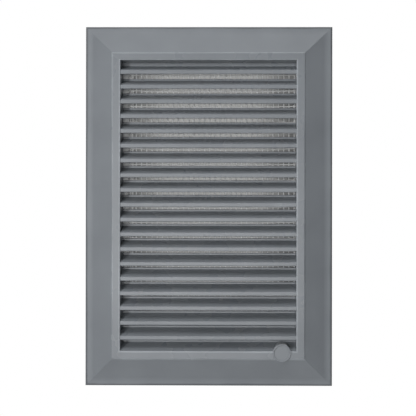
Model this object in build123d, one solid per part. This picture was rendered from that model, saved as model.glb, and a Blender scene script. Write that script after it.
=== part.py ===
from build123d import *
import math
import os

# Louvred wall vent in millimetres: X to the right, Y into the wall, Z up.
# The origin is the middle of the wall plane; the front of the vent faces -Y.

# Frame
frame_w = 165.0
frame_h = 240.0
rim_front = 9.0
skirt_h = 1.5
border_w = 18.6
wall_t = 2.0
edge_r = 1.1
flare_r = 11.0
rim_edge_r = 0.9
mouth_r = 0.5

# Flat rim between the border and the opening
rim_side_w = 5.8
rim_top_w = 5.2
rim_bottom_w = 5.9

# Louvre blades
blade_pitch = 9.75
blade_depth = 10.0
blade_rise = 4.4
blade_t = 1.3
lip_h = 2.6
lip_t = 1.4
lip_recess = 0.6
blade_r = 0.45
upstand_h = 1.35
upstand_t = 1.2
top_clear = 0.4
blade_root = 1.0

# Collar behind the frame and the ledge inside it for the screen
ledge_w = 2.5
collar_t = 1.8
collar_depth = 9.0
collar_lead = 0.7

# Ribs across the hollow back of the border
rib_t = 1.2
rib_pitch = 48.0
rib_inset = 0.5

# Round badge boss on the bottom rim
badge_d = 12.0
badge_in = 9.4
badge_drop = 1.3
badge_proud = 0.6
badge_ring_w = 1.0
badge_ring_r = 0.35
badge_dish = 0.5
badge_root = 0.6

# Insect screen
screen_t = 0.75
screen_clear = 0.3
strand_w = 0.75
strand_pitch = 3.5
brace_rows = 3

# Opening and the rectangles that follow it
opening_w = frame_w - 2 * (border_w + rim_side_w)
opening_bottom = -frame_h / 2 + border_w + rim_bottom_w
opening_top = frame_h / 2 - border_w - rim_top_w
opening_h = opening_top - opening_bottom
opening_z = (opening_top + opening_bottom) / 2
pocket_w = opening_w + 2 * ledge_w
pocket_h = opening_h + 2 * ledge_w
collar_w = pocket_w + 2 * collar_t
collar_h = pocket_h + 2 * collar_t

# Depths along Y
lip_front_y = -(rim_front - lip_recess)
upstand_y = lip_front_y + blade_depth
ledge_y = upstand_y + upstand_t
cut_reach = rim_front + collar_depth

# Border slope: a line tangent to the flare at the outer edge, up to the foot of the rim
slope_top = rim_front - rim_edge_r
slope_run = border_w - edge_r
slope_reach = math.hypot(slope_run, flare_r - slope_top + skirt_h)
slope_angle = math.asin(flare_r / slope_reach) - math.atan2(flare_r - slope_top + skirt_h, slope_run)
slope_drop = wall_t / math.cos(slope_angle)

# Section planes: the profile height runs along -Y, across the width or up the height
across = Plane((0, 0, 0), x_dir=(1, 0, 0), z_dir=(0, 0, -1))
upright = Plane((0, 0, 0), x_dir=(0, 0, 1), z_dir=(1, 0, 0))

# Section plane of the lowest blade, at the front of its lip and the edge of the opening
lowest_blade = Plane((0, lip_front_y, opening_bottom), x_dir=(0, 1, 0), z_dir=(1, 0, 0))


def slab(width, height, y_front, y_back, z_mid=0.0):
    """Rectangular block centred on X and z_mid, between two depths."""
    middle = (0, (y_front + y_back) / 2, z_mid)
    return Pos(*middle) * Box(width, y_back - y_front, height)


def border_outline(span):
    """Front outline over one span: skirt, rounded edge, flare, slope and raised rim."""
    half = span / 2
    with BuildSketch() as outline:
        with BuildLine():
            skirt = Line((-half, 0), (-half, skirt_h - edge_r))
            edge = JernArc(skirt @ 1, (0, 1), edge_r, -90)
            flare = JernArc(edge @ 1, (1, 0), flare_r, math.degrees(slope_angle))
            slope = Line(flare @ 1, (-half + border_w, slope_top))
            rim_edge = JernArc(slope @ 1, (0, 1), rim_edge_r, -90)
            Line(rim_edge @ 1, (0, rim_front))
            mirror(about=Plane.YZ)
            Line((-half, 0), (half, 0))
        make_face()
    return outline.sketch


def hollow_outline(span):
    """Outline of the hollow back over one span, one wall thickness under the slope and the rim."""
    half = span / 2
    ceiling = rim_front - wall_t
    foot = border_w - (slope_top - slope_drop) / math.tan(slope_angle)
    shoulder = foot + ceiling / math.tan(slope_angle)
    left = [(-half + foot, 0), (-half + shoulder, ceiling)]
    right = [(-x, y) for x, y in reversed(left)]
    return make_face(Polyline(*left, *right, close=True))


def mitred(outline):
    """Solid whose four sides share one outline and meet in mitres at the corners."""
    wide = extrude(across * outline(frame_w), frame_h / 2, both=True)
    tall = extrude(upright * outline(frame_h), frame_w / 2, both=True)
    return wide & tall


def rib_stations(span):
    """Places of the ribs along one side, evenly about its middle."""
    count = max(1, int(span / rib_pitch))
    return [(i - (count - 1) / 2) * rib_pitch for i in range(count)]


def make_ribs(space):
    """Thin ribs from the border's skirt to the collar, clear of the wall."""
    depth = (-rim_front, -rib_inset)
    ribs = [Pos(0, 0, z) * slab(frame_w, rib_t, *depth) for z in rib_stations(collar_h)]
    ribs += [Pos(x, 0, 0) * slab(rib_t, frame_h, *depth) for x in rib_stations(collar_w)]
    return [rib & space for rib in ribs]


def make_frame():
    """Bevelled border, rim and collar round the opening."""
    hollow = mitred(hollow_outline)
    collar = slab(collar_w, collar_h, wall_t / 2 - rim_front, collar_depth, opening_z)
    frame = mitred(border_outline) - hollow + collar
    for rib in make_ribs(hollow - collar):
        frame += rib
    frame -= slab(opening_w, opening_h, -cut_reach, cut_reach, opening_z)
    frame -= slab(pocket_w, pocket_h, ledge_y, cut_reach, opening_z)
    mouth = frame.faces().sort_by(Axis.Y)[0].inner_wires()[0]
    frame = fillet(mouth.edges(), mouth_r)
    tip = frame.faces().sort_by(Axis.Y)[-1].outer_wire()
    return chamfer(tip.edges(), collar_lead)


def blade_outline():
    """Blade section from the front face of its lip (x = 0) and the top of its lip (y = 0)."""
    rake = blade_rise / blade_depth
    under = blade_t * math.hypot(1, rake)
    back = blade_depth + upstand_t
    crest = blade_rise + upstand_h
    corners = {
        (0, -lip_h): blade_r,
        (0, 0): blade_r,
        (blade_depth, blade_rise): 0,
        (blade_depth, crest): blade_r,
        (back, crest): blade_r,
        (back, back * rake - under): 0,
        (lip_t, lip_t * rake - under): 0,
        (lip_t, -lip_h): blade_r,
    }
    return make_face(FilletPolyline(*corners, radius=corners.values(), close=True))


def make_blades():
    """Bank of blades from the bottom rim upwards, rooted in the side walls, and a bar over the top one."""
    stack = blade_rise + upstand_h + top_clear
    count = int((opening_h - stack) / blade_pitch) + 1
    reach = opening_w + 2 * blade_root
    blade = extrude(lowest_blade * blade_outline(), reach / 2, both=True)
    foot = opening_bottom + (count - 1) * blade_pitch + blade_rise
    head = opening_top + blade_root
    bar = slab(reach, head - foot, upstand_y, ledge_y, (foot + head) / 2)
    return [Pos(0, 0, i * blade_pitch) * blade for i in range(count)] + [bar]


def slot_outline(front):
    """Section of the slot over a blade, sunk half way into the blade and its upstand."""
    sink = blade_t / 2
    back = blade_depth + upstand_t / 2
    crest = blade_rise + upstand_h
    floor = [(front, -sink), (0, -sink), (blade_depth, blade_rise - sink), (back, blade_rise - sink)]
    return make_face(Polyline(*floor, (back, crest), (front, crest), close=True))


def make_badge():
    """Round boss with a rounded ring, backed on to the lowest blade where it stands in the slot."""
    x = opening_w / 2 - badge_in
    z = opening_bottom - badge_drop
    front = -rim_front - badge_proud
    face = Plane((x, front, z), x_dir=(1, 0, 0), z_dir=(0, 1, 0))
    foot_rise = (badge_d / 2 + badge_drop - rim_bottom_w) * math.tan(slope_angle)
    disc_depth = badge_proud + rim_edge_r + foot_rise + badge_root
    disc = extrude(face * Circle(badge_d / 2), disc_depth)
    disc -= extrude(face * Circle(badge_d / 2 - badge_ring_w), badge_dish)
    disc = fillet(disc.faces().sort_by(Axis.Y)[0].edges(), badge_ring_r)
    column = extrude(face.offset(badge_dish) * Circle(badge_d / 2), ledge_y - front - badge_dish)
    slot = extrude(lowest_blade * slot_outline(front - lip_front_y), opening_w / 2, both=True)
    return disc + (column & slot)


def make_grille():
    """The whole moulding."""
    grille = make_frame() + make_blades()
    return grille + make_badge()


def make_screen():
    """Net on the collar's ledge: a flat seam, upright strands and a few cross strands."""
    seat = Plane((0, ledge_y, opening_z), x_dir=(1, 0, 0), z_dir=(0, 1, 0))
    columns = max(1, round(opening_w / strand_pitch))
    cell_w = (opening_w + strand_w) / columns
    cell_h = (opening_h + strand_w) / brace_rows
    sheet = Rectangle(pocket_w - 2 * screen_clear, pocket_h - 2 * screen_clear)
    gap = Rectangle(cell_w - strand_w, cell_h - strand_w)
    gaps = GridLocations(cell_w, cell_h, columns, brace_rows) * gap
    return extrude(seat * (sheet - gaps), screen_t)


parts = {"grille": make_grille(), "insect_screen": make_screen()}
os.makedirs("parts", exist_ok=True)
for name, part in parts.items():
    part.label = name
    export_step(part, f"parts/{name}.step")
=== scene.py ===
import math
import random

import bmesh
import bpy
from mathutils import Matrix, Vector


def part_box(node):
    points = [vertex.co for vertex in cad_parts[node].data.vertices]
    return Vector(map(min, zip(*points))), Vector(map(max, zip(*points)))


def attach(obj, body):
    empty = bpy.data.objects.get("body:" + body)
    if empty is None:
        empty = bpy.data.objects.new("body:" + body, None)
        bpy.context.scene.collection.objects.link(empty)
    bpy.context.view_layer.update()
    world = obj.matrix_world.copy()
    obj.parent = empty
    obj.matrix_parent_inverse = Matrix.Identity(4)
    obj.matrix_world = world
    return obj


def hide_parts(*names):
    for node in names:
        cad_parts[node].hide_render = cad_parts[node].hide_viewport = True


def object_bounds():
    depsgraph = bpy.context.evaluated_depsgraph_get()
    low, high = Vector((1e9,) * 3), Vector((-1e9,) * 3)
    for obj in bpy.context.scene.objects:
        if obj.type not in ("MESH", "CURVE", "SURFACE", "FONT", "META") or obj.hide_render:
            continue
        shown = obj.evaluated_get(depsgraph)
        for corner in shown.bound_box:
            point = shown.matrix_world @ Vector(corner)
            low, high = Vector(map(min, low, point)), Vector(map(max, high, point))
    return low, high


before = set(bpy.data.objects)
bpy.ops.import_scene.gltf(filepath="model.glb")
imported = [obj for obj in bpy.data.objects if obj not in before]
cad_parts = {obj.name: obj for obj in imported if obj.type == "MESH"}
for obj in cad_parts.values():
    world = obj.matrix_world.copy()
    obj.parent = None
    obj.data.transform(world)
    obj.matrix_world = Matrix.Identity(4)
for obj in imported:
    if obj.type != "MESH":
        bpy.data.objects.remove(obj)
cad_low, cad_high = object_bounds()

MM = 0.001

# Noise: the range that most of its values lie in, and how much fine detail it has
NOISE_RANGE = (0.3, 0.7)
NOISE_DETAIL = 3.0
GRAIN_DETAIL = 2.0

# Grey moulded plastic
# Darkest tone, for the painted shade line along the outer edge
PAINTED_SHADE_TONE = (0.140, 0.153, 0.168, 1.0)
PLASTIC_TONES = ((0.229, 0.248, 0.270, 1.0), (0.260, 0.281, 0.305, 1.0))
# Lighter tone for the painted highlights along the rim's outer and inner edges
PAINTED_HIGHLIGHT_TONE = (0.370, 0.400, 0.432, 1.0)
BORDER_ROUGH = (0.50, 0.58)
RIM_ROUGH = (0.25, 0.31)
BORDER_WIDTH = 18.6 * MM
PLASTIC_CLOUDS = 34 * MM
PLASTIC_PATCHES = 26 * MM
PLASTIC_GRAIN = 0.5 * MM
PLASTIC_GRAIN_DEPTH = 0.012 * MM
PLASTIC_EDGE = 0.12 * MM
EDGE_SAMPLES = 4

# Painted highlights along the rim's edges and a painted shade line along the vent's outer edge: inset from
# the outer edge, width and strength
# Painted shade line along the vent's outer edge
PAINTED_SHADE_LINE = (0.0 * MM, 2.0 * MM, -0.95)
# Painted highlight lines on the rim's outer edge and on the mouth's edge
RIM_HIGHLIGHT_LINE = (18.9 * MM, 0.9 * MM, 0.54)
MOUTH_HIGHLIGHT_LINE = (24.0 * MM, 0.9 * MM, 0.60)
LIP_FACE_Y = -8.45 * MM
BOSS_SIDE_Y = -9.05 * MM

# Off-white net plastic
NET_TONES = ((0.84, 0.84, 0.835, 1.0), (0.94, 0.94, 0.935, 1.0))
NET_ROUGH = (0.38, 0.55)
NET_CLOUDS = 6 * MM
NET_GRAIN = 0.35 * MM
NET_GRAIN_DEPTH = 0.015 * MM
NET_EDGE = 0.08 * MM

# Net: strands at a square pitch inside a flat seam on the ledge, with a hem and a dense fold at the left
NET_PITCH = 3.55 * MM
NET_UPRIGHT_X = 0.5 * MM
NET_CROSS_Z = 0.0 * MM
STRAND_RADIUS = 0.41 * MM
KNOT_RADIUS = 0.45 * MM
STRAND_FLATNESS = 0.8
STRAND_SIDES = 8
STRAND_WOBBLE = 0.12 * MM
SEAM_WIDTH = 2.1 * MM
HEM_WIDTH = 5.3 * MM
FOLD_WIDTH = 4.2 * MM
FOLD_PITCH = 1.4 * MM
SEAM_THICKNESS = 0.5 * MM
SEAM_ROOT = 1.0 * MM
NET_SAG = 0.6 * MM
NET_SEED = 7

# Camera, from the perspective of the blades' back edges against their lips
CAMERA_PLACE = (24.8 * MM, -509 * MM, -9.6 * MM)
CAMERA_PITCH = 0.0009
CAMERA_ROLL = -0.0015
CAMERA_YAW = 0.0077
CAMERA_LENS = 65.73
CAMERA_SENSOR = 36.0
CAMERA_SHIFT = (-0.0769, 0.0288)
CAMERA_NEAR = 10 * MM

# Stage
MATT_ROUGH = 0.9
FLOOR_DROP = 600 * MM
FLOOR_RADIUS = 1.6
FLOOR_SIDES = 96
FLOOR_CLOUDS = 300 * MM
FLOOR_TONES = ((0.84, 0.84, 0.84, 1.0), (0.88, 0.88, 0.88, 1.0))
# Card behind the net: grey as painted shade for a shaded surface, with a painted glow of light in its
# middle that fades out towards its ends
CARD_SHADE_COLOUR = (0.32, 0.32, 0.315, 1.0)
CARD_PAINTED_LIGHT_COLOUR = (1.0, 1.0, 0.98, 1.0)
CARD_PAINTED_LIGHT = 0.20
CARD_PAINTED_LIGHT_REACH = (25 * MM, 58 * MM)
BACKGROUND_COLOUR = (1.0, 1.0, 1.0, 1.0)
BACKGROUND_LIGHT = 0.01

# Softboxes: azimuth (0 in front, positive to the right), elevation, distance, width and height, and power
SOFTBOXES = {
    "key": (-27, 1, 1.2, (0.12, 0.48), 5.0),
    "front_low": (-3, -7, 1.2, (0.38, 0.36), 1.3),
    "front_left": (-10, 0, 1.2, (0.20, 0.60), 0.9),
    "front_right": (5, 1, 1.2, (0.20, 0.60), 0.8),
    "top_left": (-30, 45, 1.2, (0.60, 0.60), 2.4),
    "top": (18, 63, 1.2, (0.60, 0.40), 3.4),
    "back_left": (-150, 12, 1.3, (0.60, 0.60), 4.0),
    "back_right": (150, 12, 1.3, (0.60, 0.60), 4.0),
}


def add_node(tree, kind, inputs=None, **settings):
    """Node of one kind, with its settings and its unlinked inputs."""
    node = tree.nodes.new(kind)
    for key, value in settings.items():
        setattr(node, key, value)
    for key, value in (inputs or {}).items():
        node.inputs[key].default_value = value
    return node


def noise(tree, place, size, detail=NOISE_DETAIL):
    """Noise value whose features have the given size in metres."""
    node = add_node(tree, "ShaderNodeTexNoise", {"Scale": 1 / size, "Detail": detail})
    tree.links.new(place, node.inputs["Vector"])
    return node.outputs["Fac"]


def spread(tree, value, limits):
    """Noise value spread between two limits."""
    inputs = dict(zip(("From Min", "From Max", "To Min", "To Max"), (*NOISE_RANGE, *limits)))
    node = add_node(tree, "ShaderNodeMapRange", inputs)
    tree.links.new(value, node.inputs["Value"])
    return node.outputs["Result"]


def tone(tree, value, tones, stops=NOISE_RANGE):
    """Colour between tones that have their stops in the range of a noise value."""
    node = add_node(tree, "ShaderNodeValToRGB")
    ramp = node.color_ramp.elements
    while len(ramp) < len(tones):
        ramp.new(1.0)
    for element, stop, colour in zip(ramp, stops, tones):
        element.position = stop
        element.color = colour
    tree.links.new(value, node.inputs["Fac"])
    return node.outputs["Color"]


def add_material(name):
    """Node material, with its tree and its shader."""
    material = bpy.data.materials.new(name)
    material.use_nodes = True
    tree = material.node_tree
    return material, tree, tree.nodes["Principled BSDF"]


def object_place(tree):
    """Coordinates in the shared frame."""
    return add_node(tree, "ShaderNodeTexCoord").outputs["Object"]


def math_node(tree, operation, first, second):
    """Result of one operation on two values or outputs."""
    node = add_node(tree, "ShaderNodeMath", operation=operation)
    for socket, value in zip(node.inputs, (first, second)):
        if isinstance(value, bpy.types.NodeSocket):
            tree.links.new(value, socket)
        else:
            socket.default_value = value
    return node.outputs["Value"]


def add_surface(tree, shader, place, grain, depth, edge):
    """Fine grain and softened edges in the shader's normal."""
    bevel = add_node(tree, "ShaderNodeBevel", {"Radius": edge}, samples=EDGE_SAMPLES)
    bump = add_node(tree, "ShaderNodeBump", {"Distance": depth})
    tree.links.new(noise(tree, place, grain, GRAIN_DETAIL), bump.inputs["Height"])
    tree.links.new(bevel.outputs["Normal"], bump.inputs["Normal"])
    tree.links.new(bump.outputs["Normal"], shader.inputs["Normal"])


def past_outline(tree, axes, inset):
    """How far a point is outside the outline at an inset from the outer edge; negative inside it."""
    half = (cad_high - cad_low) / 2
    past = []
    for axis, reach in (("X", half.x), ("Z", half.z)):
        distance = math_node(tree, "ABSOLUTE", axes.outputs[axis], 0.0)
        past.append(math_node(tree, "SUBTRACT", distance, reach - inset))
    return math_node(tree, "MAXIMUM", *past)


def edge_line(tree, axes, inset, width, strength):
    """Strength on the outline at an inset, which fades out over a width on both sides."""
    distance = math_node(tree, "ABSOLUTE", past_outline(tree, axes, inset), 0.0)
    node = add_node(tree, "ShaderNodeMapRange", {"From Min": width, "From Max": 0.0, "To Max": strength})
    tree.links.new(distance, node.inputs["Value"])
    return node.outputs["Result"]


def painted_edge_light(tree, axes):
    """Painted highlights along the rim's edges and painted shade along the outer edge, as a change of the
    clouding.
    """
    before_lips = math_node(tree, "LESS_THAN", axes.outputs["Y"], LIP_FACE_Y)
    behind_boss = math_node(tree, "GREATER_THAN", axes.outputs["Y"], BOSS_SIDE_Y)
    # Painted highlights: on the mouth's edge only on the rim's face before the lips, and on the rim's outer
    # edge, but not on the boss
    mouth_highlight = math_node(tree, "MULTIPLY", edge_line(tree, axes, *MOUTH_HIGHLIGHT_LINE), before_lips)
    painted_highlight = math_node(tree, "ADD", edge_line(tree, axes, *RIM_HIGHLIGHT_LINE), mouth_highlight)
    highlight_lines = math_node(tree, "MULTIPLY", painted_highlight, behind_boss)
    # Adds the painted shade line along the outer edge
    return math_node(tree, "ADD", highlight_lines, edge_line(tree, axes, *PAINTED_SHADE_LINE))


def grille_plastic():
    """Grey plastic: faint clouding, painted highlights on the rim's edges, painted shade on the outer edge,
    a fine mould grain, and a rougher border.
    """
    material, tree, shader = add_material("grey_moulding")
    place = object_place(tree)
    axes = add_node(tree, "ShaderNodeSeparateXYZ")
    tree.links.new(place, axes.inputs["Vector"])
    # The clouding also carries the painted highlights and the painted shade along the edges
    clouds = math_node(tree, "ADD", noise(tree, place, PLASTIC_CLOUDS), painted_edge_light(tree, axes))
    tones = (PAINTED_SHADE_TONE, *PLASTIC_TONES, PAINTED_HIGHLIGHT_TONE)
    stops = (0.0, *NOISE_RANGE, 1.0)
    tree.links.new(tone(tree, clouds, tones, stops), shader.inputs["Base Color"])
    patches = noise(tree, place, PLASTIC_PATCHES)
    rough = add_node(tree, "ShaderNodeMix")
    inside = math_node(tree, "LESS_THAN", past_outline(tree, axes, BORDER_WIDTH), 0.0)
    tree.links.new(inside, rough.inputs["Factor"])
    tree.links.new(spread(tree, patches, BORDER_ROUGH), rough.inputs["A"])
    tree.links.new(spread(tree, patches, RIM_ROUGH), rough.inputs["B"])
    tree.links.new(rough.outputs["Result"], shader.inputs["Roughness"])
    add_surface(tree, shader, place, PLASTIC_GRAIN, PLASTIC_GRAIN_DEPTH, PLASTIC_EDGE)
    return material


def net_plastic():
    """Off-white plastic of the net."""
    material, tree, shader = add_material("net_strands")
    place = object_place(tree)
    clouds = noise(tree, place, NET_CLOUDS)
    tree.links.new(tone(tree, clouds, NET_TONES), shader.inputs["Base Color"])
    tree.links.new(spread(tree, clouds, NET_ROUGH), shader.inputs["Roughness"])
    add_surface(tree, shader, place, NET_GRAIN, NET_GRAIN_DEPTH, NET_EDGE)
    return material


def add_mesh(name, mesh, material):
    """Object made of a finished bmesh."""
    data = bpy.data.meshes.new(name)
    mesh.to_mesh(data)
    mesh.free()
    data.materials.append(material)
    thing = bpy.data.objects.new(name, data)
    bpy.context.scene.collection.objects.link(thing)
    return thing


def stations(low, high, first, pitch):
    """Places at a pitch from one of them, between two limits."""
    start = math.ceil((low - first) / pitch)
    end = math.floor((high - first) / pitch)
    return [first + i * pitch for i in range(start, end + 1)]


def add_strand(mesh, points, radii, side):
    """Closed oval strand through points; side is the strand's own sideways axis."""
    rings = []
    depth = STRAND_FLATNESS * Vector((0, 1, 0))
    for point, radius in zip(points, radii):
        ring = []
        for i in range(STRAND_SIDES):
            turn = 2 * math.pi * (i + 0.5) / STRAND_SIDES
            ring.append(mesh.verts.new(point + radius * (math.cos(turn) * side + math.sin(turn) * depth)))
        rings.append(ring)
    for low, high in zip(rings, rings[1:]):
        for i in range(STRAND_SIDES):
            j = (i + 1) % STRAND_SIDES
            mesh.faces.new((low[i], low[j], high[j], high[i])).smooth = True
    mesh.faces.new(reversed(rings[0]))
    mesh.faces.new(rings[-1])


def along(low, high, knots):
    """Stations along a strand: its ends, its knots and the middles between them, with their radii."""
    middles = [(a + b) / 2 for a, b in zip(knots, knots[1:])]
    stops = [(low, STRAND_RADIUS), (high, STRAND_RADIUS)]
    stops += [(knot, KNOT_RADIUS) for knot in knots]
    stops += [(middle, STRAND_RADIUS) for middle in middles]
    return sorted(stops)


def add_seam(mesh, low, high):
    """Flat welded seam round the net, wider where the left side is hemmed."""
    front = low.y
    back = front + SEAM_THICKNESS
    rings = []
    for inner, y in ((False, front), (False, back), (True, back), (True, front)):
        x0 = low.x + HEM_WIDTH * inner
        x1 = high.x - SEAM_WIDTH * inner
        z0 = low.z + SEAM_WIDTH * inner
        z1 = high.z - SEAM_WIDTH * inner
        rings.append([mesh.verts.new((x, y, z)) for x, z in ((x0, z0), (x1, z0), (x1, z1), (x0, z1))])
    for ring, after in zip(rings, rings[1:] + rings[:1]):
        for i in range(len(ring)):
            j = (i + 1) % len(ring)
            mesh.faces.new((after[i], after[j], ring[j], ring[i]))


def make_net():
    """Net in the place of the insect screen: strands both ways inside a flat seam, closer in the fold."""
    low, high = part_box("insect_screen")
    rng = random.Random(NET_SEED)
    mesh = bmesh.new()
    left, right = low.x + HEM_WIDTH, high.x - SEAM_WIDTH
    bottom, top = low.z + SEAM_WIDTH, high.z - SEAM_WIDTH
    depth = (low.y + high.y) / 2
    fold = left + FOLD_WIDTH
    columns = stations(left + KNOT_RADIUS, fold, left + FOLD_PITCH / 2, FOLD_PITCH)
    columns += stations(fold + KNOT_RADIUS, right - KNOT_RADIUS, NET_UPRIGHT_X, NET_PITCH)
    rows = stations(bottom + KNOT_RADIUS, top - KNOT_RADIUS, NET_CROSS_Z, NET_PITCH)

    def shake():
        return rng.uniform(-STRAND_WOBBLE, STRAND_WOBBLE)

    def sag(x):
        return NET_SAG * (1 - (x / high.x) ** 2)

    for x in columns:
        stops = along(bottom - SEAM_ROOT, top + SEAM_ROOT, rows)
        points = [Vector((x + shake(), depth, z)) for z, radius in stops]
        add_strand(mesh, points, [radius for z, radius in stops], Vector((1, 0, 0)))
    for z in rows:
        stops = along(left - SEAM_ROOT, right + SEAM_ROOT, columns)
        points = [Vector((x, depth, z + shake() - sag(x))) for x, radius in stops]
        add_strand(mesh, points, [radius for x, radius in stops], Vector((0, 0, -1)))
    add_seam(mesh, low, high)
    net = add_mesh("insect_net", mesh, net_plastic())
    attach(net, "root")
    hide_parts("insect_screen")


def dress_grille():
    """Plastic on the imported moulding."""
    plastic = grille_plastic()
    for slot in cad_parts["grille"].material_slots:
        slot.material = plastic


def mix_with_clear(tree, shader, amount):
    """Output that lets through the given amount of what is behind."""
    clear = add_node(tree, "ShaderNodeBsdfTransparent")
    mix = add_node(tree, "ShaderNodeMixShader")
    tree.links.new(amount, mix.inputs["Fac"])
    tree.links.new(shader.outputs["BSDF"], mix.inputs[1])
    tree.links.new(clear.outputs["BSDF"], mix.inputs[2])
    tree.links.new(mix.outputs["Shader"], tree.nodes["Material Output"].inputs["Surface"])


def floor_material():
    """Pale matt floor that fades out towards its edge."""
    material, tree, shader = add_material("pale_floor")
    place = object_place(tree)
    shader.inputs["Roughness"].default_value = MATT_ROUGH
    tree.links.new(tone(tree, noise(tree, place, FLOOR_CLOUDS), FLOOR_TONES), shader.inputs["Base Color"])
    reach = add_node(tree, "ShaderNodeVectorMath", operation="LENGTH")
    tree.links.new(place, reach.inputs[0])
    fade = add_node(tree, "ShaderNodeMapRange", {"From Max": FLOOR_RADIUS}, interpolation_type="SMOOTHSTEP")
    tree.links.new(reach.outputs["Value"], fade.inputs["Value"])
    mix_with_clear(tree, shader, fade.outputs["Result"])
    return material


def card_material():
    """Grey card that shows only from the vent's side: painted shade for the surface behind the net, with a
    painted glow of light in the middle.
    """
    material, tree, shader = add_material("painted_shade_card")
    shader.inputs["Base Color"].default_value = CARD_SHADE_COLOUR
    shader.inputs["Roughness"].default_value = MATT_ROUGH
    axes = add_node(tree, "ShaderNodeSeparateXYZ")
    tree.links.new(object_place(tree), axes.inputs["Vector"])
    distance = math_node(tree, "ABSOLUTE", axes.outputs["X"], 0.0)
    full, none = CARD_PAINTED_LIGHT_REACH
    inputs = {"From Min": none, "From Max": full, "To Min": 0.0, "To Max": CARD_PAINTED_LIGHT}
    # Painted light: glow strongest in the middle, none towards the ends
    painted_light = add_node(tree, "ShaderNodeMapRange", inputs, interpolation_type="SMOOTHSTEP")
    tree.links.new(distance, painted_light.inputs["Value"])
    shader.inputs["Emission Color"].default_value = CARD_PAINTED_LIGHT_COLOUR
    tree.links.new(painted_light.outputs["Result"], shader.inputs["Emission Strength"])
    mix_with_clear(tree, shader, add_node(tree, "ShaderNodeNewGeometry").outputs["Backfacing"])
    return material


def make_stage():
    """Pale floor below the vent, and in the mouth of its collar a grey card with painted shade and a
    painted glow of light in its middle.
    """
    mesh = bmesh.new()
    bmesh.ops.create_circle(mesh, cap_ends=True, radius=FLOOR_RADIUS, segments=FLOOR_SIDES)
    floor = add_mesh("floor", mesh, floor_material())
    floor.location = (0, 0, -FLOOR_DROP)
    mesh = bmesh.new()
    low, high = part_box("insect_screen")
    corners = ((low.x, low.z), (high.x, low.z), (high.x, high.z), (low.x, high.z))
    mesh.faces.new([mesh.verts.new((x, cad_high.y, z)) for x, z in corners])
    card = add_mesh("card", mesh, card_material())
    card.visible_diffuse = False
    card.visible_glossy = False
    card.visible_shadow = False


def softbox(name, azimuth, elevation, distance, size, power):
    """Area light aimed at the middle of the vent; azimuth 0 is in front, positive to the right."""
    light = bpy.data.lights.new(name, "AREA")
    light.shape = "RECTANGLE"
    light.size, light.size_y = size
    light.energy = power
    lamp = bpy.data.objects.new(name, light)
    a, e = math.radians(azimuth), math.radians(elevation)
    away = Vector((math.sin(a) * math.cos(e), -math.cos(a) * math.cos(e), math.sin(e)))
    lamp.location = distance * away
    lamp.rotation_mode = "QUATERNION"
    lamp.rotation_quaternion = (-away).to_track_quat("-Z", "Y")
    bpy.context.scene.collection.objects.link(lamp)


def make_world():
    """White background that lights the part only a little."""
    world = bpy.data.worlds.new("studio")
    world.use_nodes = True
    tree = world.node_tree
    back = tree.nodes["Background"]
    back.inputs["Color"].default_value = BACKGROUND_COLOUR
    seen = add_node(tree, "ShaderNodeLightPath").outputs["Is Camera Ray"]
    strength = add_node(tree, "ShaderNodeMapRange", {"To Min": BACKGROUND_LIGHT, "To Max": 1.0})
    tree.links.new(seen, strength.inputs["Value"])
    tree.links.new(strength.outputs["Result"], back.inputs["Strength"])
    bpy.context.scene.world = world
    bpy.context.scene.view_settings.view_transform = "Standard"


def make_lights():
    """Soft studio light, most of it from the front and the upper left."""
    for name, settings in SOFTBOXES.items():
        softbox(name, *settings)


def make_camera():
    """Camera at the photograph's viewing angle."""
    data = bpy.data.cameras.new("camera")
    data.lens = CAMERA_LENS
    data.sensor_width = CAMERA_SENSOR
    data.shift_x, data.shift_y = CAMERA_SHIFT
    data.clip_start = CAMERA_NEAR
    camera = bpy.data.objects.new("camera", data)
    camera.location = CAMERA_PLACE
    camera.rotation_euler = (math.pi / 2 + CAMERA_PITCH, CAMERA_ROLL, CAMERA_YAW)
    bpy.context.scene.collection.objects.link(camera)
    bpy.context.scene.camera = camera


dress_grille()
make_net()
make_stage()
make_world()
make_lights()
make_camera()
